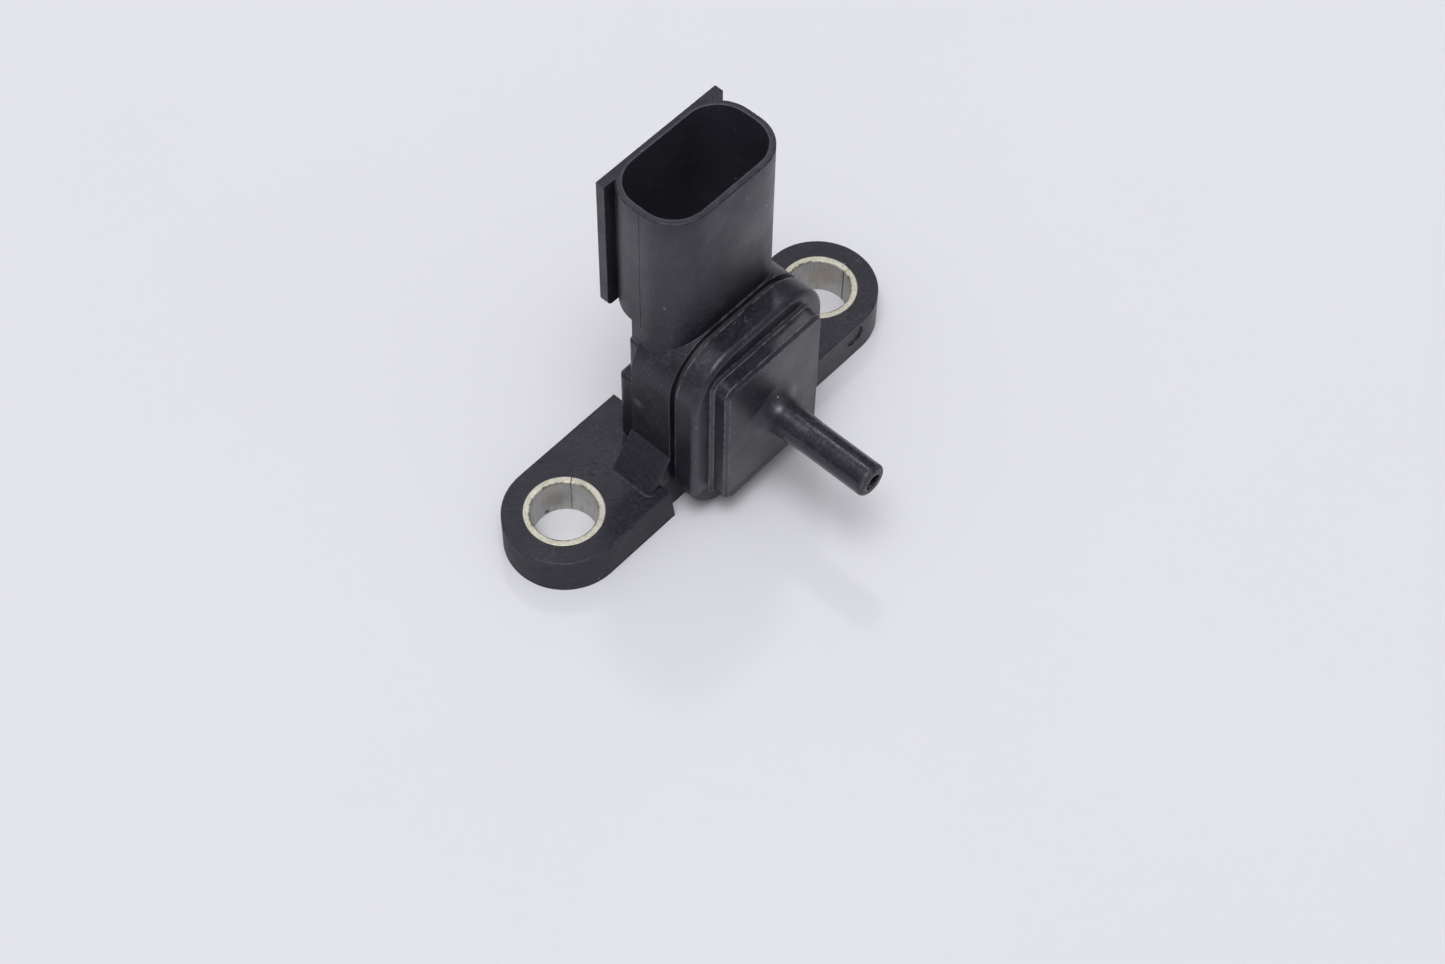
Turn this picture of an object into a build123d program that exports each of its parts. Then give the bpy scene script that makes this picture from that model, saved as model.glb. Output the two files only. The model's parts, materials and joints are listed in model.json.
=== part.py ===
from build123d import *
import os

os.makedirs("parts", exist_ok=True)

# Manifold absolute pressure sensor, in millimetres.
# The origin lies on the flange's underside, midway between the two bolt holes.
# +X runs along the flange, -Y is the way the nipple points and +Z is up.

# Flange and its two ears
HOLE_SPACING = 42.0
EAR_RADIUS = 6.9
FLANGE_THICKNESS = 5.1
FLANGE_EDGE = 0.12
REAR_NOTCH_WIDTH = 11.8
REAR_NOTCH_FLOOR_Y = 4.6
REAR_NOTCH_RADIUS = 1.0
FRONT_NOTCH_CLEARANCE = 0.55
FRONT_NOTCH_FLARE = 0.65

# Round mark that the moulding tool left on the right ear's front face
EAR_MARK_SETBACK = 1.5
EAR_MARK_DROP = 1.7
EAR_MARK_RADIUS = 1.38
EAR_MARK_DEPTH = 0.2

# Split bushings rolled from sheet
BUSHING_OUTER_RADIUS = 4.5
BUSHING_WALL = 0.8
BUSHING_STAND = 0.05
BUSHING_SPLIT = 0.06
BUSHING_CHAMFER = 0.15
LEFT_SPLIT_ANGLE = 33.0
RIGHT_SPLIT_ANGLE = -11.0

# Body: a rounded plate that stands across the flange and faces the cover
BODY_WIDTH = 20.4
BODY_BOTTOM = 0.4
BODY_TOP = 26.0
BODY_CORNER = 6.2
BODY_FRONT_Y = -5.65
BODY_BACK_Y = 0.0
BODY_BACK_EDGE = 0.15

# Steps behind the body plate
LOWER_BACK_INSET = 1.1
LOWER_BACK_Y = 3.0
LOWER_BACK_CORNER = 0.9
UPPER_BACK_INSET = 1.25
UPPER_BACK_DROP = 2.7
UPPER_BACK_Y = 1.45
UPPER_BACK_CORNER = 0.6
BACK_STEP_EDGE = 0.35

# Ramps that brace the body on the ears
RAMP_RUN = 3.3
RAMP_RISE = 4.2
RAMP_CORNER = 0.6
RAMP_FOOT_FILLET = 0.5
RAMP_SINK = 2.0
RAMP_TOE = 0.6

# Connector shroud
SHROUD_INSET = 1.4
SHROUD_SETBACK = 0.2
SHROUD_DEPTH = 10.9
SHROUD_END_FLAT = 1.7
SHROUD_HEIGHT = 19.1
SHROUD_WALL = 0.72
SHROUD_RIM_CHAMFER = 0.14
SHROUD_NECK_Y = 0.95
SHROUD_UNDER_CHAMFER = 0.7
SOCKET_DEPTH = 16.5
BACK_PLATE = 1.1
BACK_PLATE_CORNER = 0.8

# Port cover
GROOVE_WIDTH = 0.8
COVER_THICKNESS = 2.85
COVER_EDGE = 0.7
BLOCK_SIDE_MARGIN = 2.65
BLOCK_BOTTOM_MARGIN = 3.0
BLOCK_TOP_MARGIN = 2.6
BLOCK_STAND = 2.2
BLOCK_CORNER = 1.3
BLOCK_EDGE = 0.4
BLOCK_FOOT = 0.35
CHAMBER_WALL = 2.0
CHAMBER_FRONT_WALL = 1.7
CHAMBER_CORNER = 1.5

# Nipple
NIPPLE_Z = 13.5
NIPPLE_LENGTH = 14.1
NIPPLE_RADIUS = 1.98
NIPPLE_WAIST = 5.6
NIPPLE_ROOT_GROWTH = 0.22
NIPPLE_FLARE = 1.7
NIPPLE_FLARE_RISE = 1.6
NIPPLE_TIP_ROUND = 0.6
NIPPLE_WALL = 0.93

# Bond between body and cover
BEAD_WIDTH = 1.3
BEAD_INSET = 0.8
BEAD_DEPTH = 0.7

# Sensing cavity in the body
CAVITY_SIDE_WALL = 3.0
CAVITY_BOTTOM_WALL = 3.8
CAVITY_TOP_WALL = 4.4
CAVITY_CORNER = 1.2
CAVITY_FLOOR_Y = 1.5
SHELF_BOTTOM = 13.2
SHELF_WALL = 2.7

# Connector terminals
TERMINAL_PITCH = 4.6
TERMINAL_WIDTH = 2.3
TERMINAL_THICKNESS = 0.64
TERMINAL_Y = -0.8
TERMINAL_TIP_DROP = 9.1
TERMINAL_FOOT_RISE = 2.6
TERMINAL_TAPER = 0.8
TERMINAL_TIP_BEVEL = 0.5
TERMINAL_SHOULDER = 0.45
TERMINAL_SHOULDER_DROP = 3.4
TERMINAL_SHOULDER_HEIGHT = 2.4

# Board and what stands on it
BOARD_CLEARANCE = 0.6
BOARD_TOP_CLEARANCE = 0.3
BOARD_THICKNESS = 0.8
BOARD_EDGE_MARGIN = 0.45
PAD_MARGIN = 0.9
PAD_THICKNESS = 0.25
GEL_DAM_RADIUS = 2.0
GEL_DAM_WALL = 0.4
GEL_DAM_HEIGHT = 1.9
GEL_DEPTH = 1.6
PEDESTAL_SIZE = 1.8
PEDESTAL_HEIGHT = 0.7
DIE_SIZE = 1.4
DIE_HEIGHT = 0.4
CHIP_SIZE = 2.0
CHIP_HEIGHT = 0.6
CHIP_CHAMFER = 0.12
CAPACITOR_PITCH = 1.5
CAPACITOR_LENGTH = 1.6
CAPACITOR_WIDTH = 0.8
CAPACITOR_HEIGHT = 0.9
RESISTOR_HEIGHT = 0.45
RESISTOR_GAP = 0.4

# Ribbon leads from the terminals to the board
LEAD_WIDTH = 0.9
LEAD_THICKNESS = 0.15
LEAD_TOP = 0.7
LEAD_FOOT = 0.5
LEAD_CLEARANCE = 0.45
LEAD_SLOPE = 0.5
LEAD_LANDING_DROP = 0.5
LEAD_BEND_RADIUS = 0.2

# Filter disc behind the nipple, in its ring
FILTER_RADIUS = 2.5
FILTER_THICKNESS = 1.0
FILTER_RING_WALL = 0.7
FILTER_RING_HEIGHT = 1.3

# How near an edge must lie to a plane to be picked by it
PICK_TOLERANCE = 0.01

# Places worked out from the sizes above
hole_x = HOLE_SPACING / 2
body_middle_z = (BODY_TOP + BODY_BOTTOM) / 2
body_height = BODY_TOP - BODY_BOTTOM
cover_back_y = BODY_FRONT_Y - GROOVE_WIDTH
cover_front_y = cover_back_y - COVER_THICKNESS
shroud_width = BODY_WIDTH - 2 * SHROUD_INSET
shroud_front_y = BODY_FRONT_Y + SHROUD_SETBACK
shroud_back_y = shroud_front_y + SHROUD_DEPTH
shroud_top = BODY_TOP + SHROUD_HEIGHT
shroud_corner = (SHROUD_DEPTH - SHROUD_END_FLAT) / 2
block_width = BODY_WIDTH - 2 * BLOCK_SIDE_MARGIN
block_bottom = BODY_BOTTOM + BLOCK_BOTTOM_MARGIN
block_top = BODY_TOP - BLOCK_TOP_MARGIN
block_front_y = cover_front_y - BLOCK_STAND
block_middle_z = (block_top + block_bottom) / 2
chamber_front_y = block_front_y + CHAMBER_FRONT_WALL
nipple_tip_y = block_front_y - NIPPLE_LENGTH
cavity_width = BODY_WIDTH - 2 * CAVITY_SIDE_WALL
cavity_bottom = BODY_BOTTOM + CAVITY_BOTTOM_WALL
cavity_top = BODY_TOP - CAVITY_TOP_WALL
terminal_front_y = TERMINAL_Y - TERMINAL_THICKNESS / 2
terminal_tip_z = shroud_top - TERMINAL_TIP_DROP
terminal_foot_z = SHELF_BOTTOM + TERMINAL_FOOT_RISE
board_width = cavity_width - 2 * BOARD_CLEARANCE
board_bottom = cavity_bottom + BOARD_CLEARANCE
board_top = SHELF_BOTTOM - BOARD_TOP_CLEARANCE
board_middle_z = (board_top + board_bottom) / 2
board_back_y = CAVITY_FLOOR_Y - PAD_THICKNESS
board_front_y = board_back_y - BOARD_THICKNESS

# The dam stands at the board's left edge, the capacitors at its right and the chip between them
parts_side_x = board_width / 2 - BOARD_EDGE_MARGIN
parts_bottom = board_bottom + BOARD_EDGE_MARGIN
gel_dam_x = GEL_DAM_RADIUS - parts_side_x
gel_dam_z = parts_bottom + GEL_DAM_RADIUS
capacitor_x = parts_side_x - CAPACITOR_LENGTH / 2
lowest_part_z = parts_bottom + CAPACITOR_WIDTH / 2
chip_x = (gel_dam_x + GEL_DAM_RADIUS + capacitor_x - CAPACITOR_LENGTH / 2) / 2
chip_z = parts_bottom + CAPACITOR_WIDTH + RESISTOR_GAP + CHIP_SIZE / 2


def edges_at(edges, axis, place):
    """The edges whose centre lies at place along the axis."""
    return edges.filter_by_position(axis, place - PICK_TOLERANCE, place + PICK_TOLERANCE)


def facing_front(y):
    """The upright plane at y, with its normal along -Y, so that a positive extrusion goes to the front."""
    return Plane.XZ.offset(-y)


def upright_plate(width, bottom, top, corner, back_y, front_y):
    """A rounded rectangle in X and Z that runs from back_y forward to front_y."""
    with BuildPart() as plate:
        with BuildSketch(facing_front(back_y)):
            with Locations((0, (bottom + top) / 2)):
                RectangleRounded(width, top - bottom, corner)
        extrude(amount=back_y - front_y)
    return plate.part


def flange():
    """The long flange with a round ear at each end, its rear notch and the flared notch for the cover."""
    half_front = BODY_WIDTH / 2 + FRONT_NOTCH_CLEARANCE
    notch_depth = EAR_RADIUS - REAR_NOTCH_FLOOR_Y
    with BuildPart() as plate:
        with BuildSketch():
            SlotCenterToCenter(HOLE_SPACING, 2 * EAR_RADIUS)
            with Locations((0, REAR_NOTCH_FLOOR_Y + notch_depth)):
                Rectangle(REAR_NOTCH_WIDTH, 2 * notch_depth, mode=Mode.SUBTRACT)
        extrude(amount=FLANGE_THICKNESS)
        upright = plate.edges().filter_by(Axis.Z)
        fillet(edges_at(upright, Axis.Y, REAR_NOTCH_FLOOR_Y), REAR_NOTCH_RADIUS)
        chamfer(plate.faces().sort_by(Axis.Z)[-1].outer_wire().edges(), FLANGE_EDGE)
        with BuildSketch(facing_front(BODY_FRONT_Y)):
            with BuildLine():
                Polyline(
                    (-half_front, 0),
                    (half_front, 0),
                    (half_front + FRONT_NOTCH_FLARE, FLANGE_THICKNESS),
                    (-half_front - FRONT_NOTCH_FLARE, FLANGE_THICKNESS),
                    close=True,
                )
            make_face()
        extrude(amount=EAR_RADIUS, mode=Mode.SUBTRACT)
    return plate.part


def body_plate():
    """The body's upright plate, with its rear edge broken all round."""
    with BuildPart() as plate:
        add(upright_plate(BODY_WIDTH, BODY_BOTTOM, BODY_TOP, BODY_CORNER, BODY_BACK_Y, BODY_FRONT_Y))
        chamfer(plate.faces().sort_by(Axis.Y)[-1].outer_wire().edges(), BODY_BACK_EDGE)
    return plate.part


def back_step(inset, bottom, top, back_y, corner):
    """A step behind the body plate, with rounded upright corners and a broken top edge."""
    with BuildPart() as step:
        with BuildSketch(Plane.XY.offset(bottom)):
            with Locations((0, (back_y + BODY_FRONT_Y) / 2)):
                Rectangle(BODY_WIDTH - 2 * inset, back_y - BODY_FRONT_Y)
        extrude(amount=top - bottom)
        fillet(step.edges().filter_by(Axis.Z).group_by(Axis.Y)[-1], corner)
        top_edges = step.faces().sort_by(Axis.Z)[-1].outer_wire().edges()
        chamfer(top_edges.sort_by(Axis.Y)[1:], BACK_STEP_EDGE)
    return step.part


def ramp(side):
    """The ramp that braces the body plate on one ear, side -1 on the left and 1 on the right."""
    root_x = side * (BODY_WIDTH / 2 - RAMP_SINK)
    face_x = side * BODY_WIDTH / 2
    foot_x = face_x + side * RAMP_RUN
    toe_x = foot_x + side * RAMP_TOE
    with BuildPart() as brace:
        with BuildSketch(facing_front(BODY_BACK_Y)) as profile:
            with BuildLine():
                Polyline(
                    (root_x, FLANGE_THICKNESS / 2),
                    (toe_x, FLANGE_THICKNESS / 2),
                    (toe_x, FLANGE_THICKNESS),
                    (foot_x, FLANGE_THICKNESS),
                    (face_x, FLANGE_THICKNESS + RAMP_RISE),
                    (root_x, FLANGE_THICKNESS + RAMP_RISE),
                    close=True,
                )
            make_face()
            level_corners = profile.vertices().filter_by_position(
                Axis.Y, FLANGE_THICKNESS - PICK_TOLERANCE, FLANGE_THICKNESS + PICK_TOLERANCE
            )
            fillet(level_corners.sort_by(Axis.X)[0 if side > 0 else -1], RAMP_FOOT_FILLET)
        extrude(amount=BODY_BACK_Y - BODY_FRONT_Y)
        outline_edges = brace.faces().sort_by(Axis.Y)[0].edges()
        level = outline_edges.filter_by(Axis.X)
        upright = outline_edges.filter_by(Axis.Z)
        fillet(outline_edges - level - upright, RAMP_CORNER)
    return brace.part


def shroud_outline():
    """The connector shroud's outer section."""
    with BuildSketch() as outline:
        with Locations((0, (shroud_back_y + shroud_front_y) / 2)):
            RectangleRounded(shroud_width, SHROUD_DEPTH, shroud_corner)
    return outline.sketch


def shroud(outline):
    """The oval connector shroud, its neck down into the body and the flat plate across its back."""
    neck_bottom = BODY_TOP - BODY_CORNER
    with BuildPart() as tube:
        with BuildSketch(Plane.XY.offset(BODY_TOP)):
            add(outline)
        extrude(amount=SHROUD_HEIGHT)
        chamfer(tube.faces().sort_by(Axis.Z)[-1].outer_wire().edges(), SHROUD_RIM_CHAMFER)
        with BuildSketch(Plane.XY.offset(neck_bottom)):
            add(outline)
            with Locations((0, SHROUD_NECK_Y + SHROUD_DEPTH)):
                Rectangle(2 * shroud_width, 2 * SHROUD_DEPTH, mode=Mode.SUBTRACT)
        extrude(amount=BODY_TOP - neck_bottom)
        under_edges = edges_at(tube.edges().filter_by(Axis.X), Axis.Z, BODY_TOP)
        chamfer(under_edges.sort_by(Axis.Y)[-1], SHROUD_UNDER_CHAMFER)
        with BuildSketch(facing_front(shroud_back_y)):
            with Locations((0, BODY_TOP + SHROUD_HEIGHT / 2)):
                Rectangle(shroud_width, SHROUD_HEIGHT)
            fillet(vertices().group_by(Axis.Y)[0], BACK_PLATE_CORNER)
        extrude(amount=BACK_PLATE)
    return tube.part


def bead_ring(back_y, front_y):
    """The closed ring of bond that follows the body's outline."""
    outer_corner = BODY_CORNER - BEAD_INSET
    with BuildPart() as ring:
        with BuildSketch(facing_front(back_y)):
            with Locations((0, body_middle_z)):
                RectangleRounded(BODY_WIDTH - 2 * BEAD_INSET, body_height - 2 * BEAD_INSET, outer_corner)
                RectangleRounded(
                    BODY_WIDTH - 2 * BEAD_INSET - 2 * BEAD_WIDTH,
                    body_height - 2 * BEAD_INSET - 2 * BEAD_WIDTH,
                    outer_corner - BEAD_WIDTH,
                    mode=Mode.SUBTRACT,
                )
        extrude(amount=back_y - front_y)
    return ring.part


def split_bushing(x, split_angle):
    """A sleeve rolled from sheet, with an open seam at split_angle degrees from +X."""
    with BuildPart() as sleeve:
        with BuildSketch():
            with Locations((x, 0)):
                Circle(BUSHING_OUTER_RADIUS)
                Circle(BUSHING_OUTER_RADIUS - BUSHING_WALL, mode=Mode.SUBTRACT)
        extrude(amount=FLANGE_THICKNESS + BUSHING_STAND)
        top_circles = sleeve.edges().filter_by(GeomType.CIRCLE).group_by(Axis.Z)[-1]
        chamfer(top_circles.sort_by(SortBy.RADIUS)[0], BUSHING_CHAMFER)
        with BuildSketch():
            with Locations(Location((x, 0, 0), (0, 0, split_angle))):
                with Locations((BUSHING_OUTER_RADIUS - BUSHING_WALL / 2, 0)):
                    Rectangle(2 * BUSHING_WALL, BUSHING_SPLIT)
        extrude(amount=FLANGE_THICKNESS + BUSHING_STAND, mode=Mode.SUBTRACT)
    return sleeve.part


def terminal(x):
    """A flat blade with a tapered tip and a shoulder that locks it in the moulding."""
    half = TERMINAL_WIDTH / 2
    shoulder_low = BODY_TOP - TERMINAL_SHOULDER_DROP
    with BuildPart() as blade:
        with BuildSketch(facing_front(TERMINAL_Y + TERMINAL_THICKNESS / 2)):
            with BuildLine():
                Polyline(
                    (x - half, terminal_foot_z),
                    (x + half, terminal_foot_z),
                    (x + half, terminal_tip_z - TERMINAL_TAPER),
                    (x + half - TERMINAL_TIP_BEVEL, terminal_tip_z),
                    (x - half + TERMINAL_TIP_BEVEL, terminal_tip_z),
                    (x - half, terminal_tip_z - TERMINAL_TAPER),
                    close=True,
                )
            make_face()
            with Locations((x, shoulder_low + TERMINAL_SHOULDER_HEIGHT / 2)):
                Rectangle(TERMINAL_WIDTH + 2 * TERMINAL_SHOULDER, TERMINAL_SHOULDER_HEIGHT)
        extrude(amount=TERMINAL_THICKNESS)
    return blade.part


def ribbon_lead(x):
    """A bent ribbon from the foot of a terminal down to its pad on the board."""
    half = LEAD_THICKNESS / 2
    start_y = terminal_front_y - half
    end_y = board_front_y - half
    out_y = start_y - LEAD_CLEARANCE
    leave_z = terminal_foot_z + LEAD_THICKNESS
    landing_z = board_top - LEAD_LANDING_DROP
    with BuildPart() as ribbon:
        with BuildLine(Plane.YZ.offset(x)) as path:
            FilletPolyline(
                (start_y, leave_z + LEAD_TOP),
                (start_y, leave_z),
                (out_y, leave_z - LEAD_SLOPE),
                (out_y, SHELF_BOTTOM - LEAD_THICKNESS),
                (end_y, landing_z),
                (end_y, landing_z - LEAD_FOOT),
                radius=LEAD_BEND_RADIUS,
            )
        with BuildSketch(Plane(origin=path.line @ 0, x_dir=(1, 0, 0), z_dir=path.line % 0)):
            Rectangle(LEAD_WIDTH, LEAD_THICKNESS)
        sweep()
    return ribbon.part


def board_block(x, z, width, height, back_y, front_y):
    """A small block that stands on the board, centred at x and z."""
    with BuildPart() as block:
        with BuildSketch(facing_front(back_y)):
            with Locations((x, z)):
                Rectangle(width, height)
        extrude(amount=back_y - front_y)
    return block.part


def front_edges(part_faces):
    """The outer edges of the frontmost face, to be rounded or broken."""
    return part_faces.sort_by(Axis.Y)[0].outer_wire().edges()


def cover_plate():
    """The cover's plate, with its front edge rounded all round."""
    with BuildPart() as plate:
        add(upright_plate(BODY_WIDTH, BODY_BOTTOM, BODY_TOP, BODY_CORNER, cover_back_y, cover_front_y))
        fillet(front_edges(plate.faces()), COVER_EDGE)
    return plate.part


def cover_block():
    """The raised block on the cover, its front edge broken and its foot splayed onto the plate."""
    side = block_width / 2 + PICK_TOLERANCE
    low = block_bottom - PICK_TOLERANCE
    high = block_top + PICK_TOLERANCE
    with BuildPart() as block:
        add(cover_plate())
        with BuildSketch(facing_front(cover_front_y)):
            with Locations((0, block_middle_z)):
                RectangleRounded(block_width, block_top - block_bottom, BLOCK_CORNER)
        extrude(amount=BLOCK_STAND)
        at_foot = edges_at(block.edges(), Axis.Y, cover_front_y)
        at_foot = at_foot.filter_by_position(Axis.X, -side, side).filter_by_position(Axis.Z, low, high)
        chamfer(at_foot, BLOCK_FOOT)
        chamfer(front_edges(block.faces()), BLOCK_EDGE)
    return block.part


def nipple():
    """The hose nipple: a barrel with a rounded tip, thicker to its root and flared into the block."""
    tip = (nipple_tip_y, NIPPLE_Z + NIPPLE_RADIUS)
    waist = (block_front_y - NIPPLE_WAIST, NIPPLE_Z + NIPPLE_RADIUS)
    root_z = NIPPLE_Z + NIPPLE_RADIUS + NIPPLE_ROOT_GROWTH
    root = (block_front_y - NIPPLE_FLARE, root_z)
    flare_z = root_z + NIPPLE_FLARE_RISE
    with BuildPart() as barrel:
        with BuildSketch(Plane.YZ) as profile:
            with BuildLine():
                Polyline((nipple_tip_y, NIPPLE_Z), tip, waist)
                root_side = Line(waist, root)
                flare = TangentArc(root, (block_front_y, flare_z), tangent=root_side % 1)
                Polyline(
                    flare @ 1,
                    (chamber_front_y, flare_z),
                    (chamber_front_y, NIPPLE_Z),
                    (nipple_tip_y, NIPPLE_Z),
                )
            make_face()
            tip_corners = profile.vertices().group_by(Axis.X)[0]
            fillet(tip_corners.sort_by(Axis.Y)[-1], NIPPLE_TIP_ROUND)
        revolve(axis=Axis((0, 0, NIPPLE_Z), (0, 1, 0)))
    return barrel.part


# Terminals
terminal_places = {"supply": -TERMINAL_PITCH, "signal": 0.0, "ground": TERMINAL_PITCH}
terminals = {name: terminal(x) for name, x in terminal_places.items()}

# Housing: flange, body and connector shroud in one moulding
outline = shroud_outline()
solids = [
    flange(),
    body_plate(),
    back_step(LOWER_BACK_INSET, BODY_BOTTOM, SHELF_BOTTOM + SHELF_WALL, LOWER_BACK_Y, LOWER_BACK_CORNER),
    back_step(
        UPPER_BACK_INSET, FLANGE_THICKNESS, BODY_TOP - UPPER_BACK_DROP, UPPER_BACK_Y, UPPER_BACK_CORNER
    ),
    ramp(-1),
    ramp(1),
    shroud(outline),
]
upper_cavity = upright_plate(
    cavity_width, cavity_bottom, cavity_top, CAVITY_CORNER, terminal_front_y, BODY_FRONT_Y
)
lower_cavity = upright_plate(
    cavity_width, cavity_bottom, SHELF_BOTTOM, CAVITY_CORNER, CAVITY_FLOOR_Y, BODY_FRONT_Y
)
bead_groove = bead_ring(BODY_FRONT_Y + BEAD_DEPTH, BODY_FRONT_Y)

with BuildPart() as housing:
    for solid in solids:
        add(solid)
    with BuildSketch(Plane.XY.offset(shroud_top)):
        offset(outline, amount=-SHROUD_WALL)
    extrude(amount=-SOCKET_DEPTH, mode=Mode.SUBTRACT)
    for cut in (upper_cavity, lower_cavity, bead_groove, *terminals.values()):
        add(cut, mode=Mode.SUBTRACT)
    with BuildSketch():
        with Locations((-hole_x, 0), (hole_x, 0)):
            Circle(BUSHING_OUTER_RADIUS)
    extrude(amount=FLANGE_THICKNESS + BUSHING_STAND, mode=Mode.SUBTRACT)
    with BuildSketch(facing_front(-EAR_RADIUS)):
        with Locations((hole_x - EAR_MARK_SETBACK, FLANGE_THICKNESS - EAR_MARK_DROP)):
            Circle(EAR_MARK_RADIUS)
    extrude(amount=-EAR_MARK_DEPTH, mode=Mode.SUBTRACT)
housing.part.label = "housing"
export_step(housing.part, "parts/housing.step")

# Port cover: plate, block and hose nipple in one moulding, hollow behind the block
with BuildPart() as port_cover:
    add(cover_block())
    add(nipple())
    with BuildSketch(facing_front(cover_back_y)):
        with Locations((0, block_middle_z)):
            RectangleRounded(
                block_width - 2 * CHAMBER_WALL, block_top - block_bottom - 2 * CHAMBER_WALL, CHAMBER_CORNER
            )
    extrude(amount=cover_back_y - chamber_front_y, mode=Mode.SUBTRACT)
    with BuildSketch(facing_front(chamber_front_y + FILTER_RING_HEIGHT)):
        with Locations((0, NIPPLE_Z)):
            Circle(FILTER_RADIUS + FILTER_RING_WALL)
            Circle(FILTER_RADIUS, mode=Mode.SUBTRACT)
    extrude(amount=FILTER_RING_HEIGHT)
    with BuildSketch(facing_front(chamber_front_y)):
        with Locations((0, NIPPLE_Z)):
            Circle(NIPPLE_RADIUS - NIPPLE_WALL)
    extrude(amount=chamber_front_y - nipple_tip_y, mode=Mode.SUBTRACT)
port_cover.part.label = "port_cover"
export_step(port_cover.part, "parts/port_cover.step")

# Filter disc over the inner end of the nipple's bore, inside its ring
with BuildPart() as damping_filter:
    with BuildSketch(facing_front(chamber_front_y + FILTER_THICKNESS)):
        with Locations((0, NIPPLE_Z)):
            Circle(FILTER_RADIUS)
    extrude(amount=FILTER_THICKNESS)
damping_filter.part.label = "damping_filter"
export_step(damping_filter.part, "parts/damping_filter.step")

# Bond between the housing and the cover: it fills the groove and stands out to the cover's back
adhesive_bead = bead_ring(BODY_FRONT_Y + BEAD_DEPTH, cover_back_y)
adhesive_bead.label = "adhesive_bead"
export_step(adhesive_bead, "parts/adhesive_bead.step")

# Rolled sleeves in the two mounting holes
bushings = {
    "left": split_bushing(-hole_x, LEFT_SPLIT_ANGLE),
    "right": split_bushing(hole_x, RIGHT_SPLIT_ANGLE),
}
for side, sleeve in bushings.items():
    sleeve.label = f"bushing_{side}"
    export_step(sleeve, f"parts/bushing_{side}.step")

# Terminals and the ribbon leads at their feet
for name, x in terminal_places.items():
    blade = terminals[name]
    blade.label = f"terminal_{name}"
    export_step(blade, f"parts/terminal_{name}.step")
    ribbon = ribbon_lead(x)
    ribbon.label = f"lead_{name}"
    export_step(ribbon, f"parts/lead_{name}.step")

# Circuit board on its pad of adhesive
with BuildPart() as circuit_board:
    with BuildSketch(facing_front(board_back_y)):
        with Locations((0, board_middle_z)):
            Rectangle(board_width, board_top - board_bottom)
    extrude(amount=BOARD_THICKNESS)
circuit_board.part.label = "circuit_board"
export_step(circuit_board.part, "parts/circuit_board.step")

with BuildPart() as board_adhesive:
    with BuildSketch(facing_front(CAVITY_FLOOR_Y)):
        with Locations((0, board_middle_z)):
            Rectangle(board_width - 2 * PAD_MARGIN, board_top - board_bottom - 2 * PAD_MARGIN)
    extrude(amount=PAD_THICKNESS)
board_adhesive.part.label = "board_adhesive"
export_step(board_adhesive.part, "parts/board_adhesive.step")

# Pressure cell: glass pedestal, silicon die, dam and gel
pedestal_front_y = board_front_y - PEDESTAL_HEIGHT
glass_pedestal = board_block(
    gel_dam_x, gel_dam_z, PEDESTAL_SIZE, PEDESTAL_SIZE, board_front_y, pedestal_front_y
)
glass_pedestal.label = "glass_pedestal"
export_step(glass_pedestal, "parts/glass_pedestal.step")

pressure_die = board_block(
    gel_dam_x, gel_dam_z, DIE_SIZE, DIE_SIZE, pedestal_front_y, pedestal_front_y - DIE_HEIGHT
)
pressure_die.label = "pressure_die"
export_step(pressure_die, "parts/pressure_die.step")

with BuildPart() as gel_dam:
    with BuildSketch(facing_front(board_front_y)):
        with Locations((gel_dam_x, gel_dam_z)):
            Circle(GEL_DAM_RADIUS)
            Circle(GEL_DAM_RADIUS - GEL_DAM_WALL, mode=Mode.SUBTRACT)
    extrude(amount=GEL_DAM_HEIGHT)
gel_dam.part.label = "gel_dam"
export_step(gel_dam.part, "parts/gel_dam.step")

with BuildPart() as protective_gel:
    with BuildSketch(facing_front(board_front_y)):
        with Locations((gel_dam_x, gel_dam_z)):
            Circle(GEL_DAM_RADIUS - GEL_DAM_WALL)
    extrude(amount=GEL_DEPTH)
    add(glass_pedestal, mode=Mode.SUBTRACT)
    add(pressure_die, mode=Mode.SUBTRACT)
protective_gel.part.label = "protective_gel"
export_step(protective_gel.part, "parts/protective_gel.step")

# Signal chip, capacitors and trim resistor
with BuildPart() as signal_chip:
    add(board_block(chip_x, chip_z, CHIP_SIZE, CHIP_SIZE, board_front_y, board_front_y - CHIP_HEIGHT))
    chamfer(front_edges(signal_chip.faces()), CHIP_CHAMFER)
signal_chip.part.label = "signal_chip"
export_step(signal_chip.part, "parts/signal_chip.step")

for step_up, name in enumerate(("supply", "signal", "bypass")):
    capacitor = board_block(
        capacitor_x,
        lowest_part_z + step_up * CAPACITOR_PITCH,
        CAPACITOR_LENGTH,
        CAPACITOR_WIDTH,
        board_front_y,
        board_front_y - CAPACITOR_HEIGHT,
    )
    capacitor.label = f"capacitor_{name}"
    export_step(capacitor, f"parts/capacitor_{name}.step")

trim_resistor = board_block(
    chip_x, lowest_part_z, CAPACITOR_LENGTH, CAPACITOR_WIDTH, board_front_y, board_front_y - RESISTOR_HEIGHT
)
trim_resistor.label = "trim_resistor"
export_step(trim_resistor, "parts/trim_resistor.step")
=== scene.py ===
import bpy
import bmesh
import json
import math
from mathutils import Matrix, Vector


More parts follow.
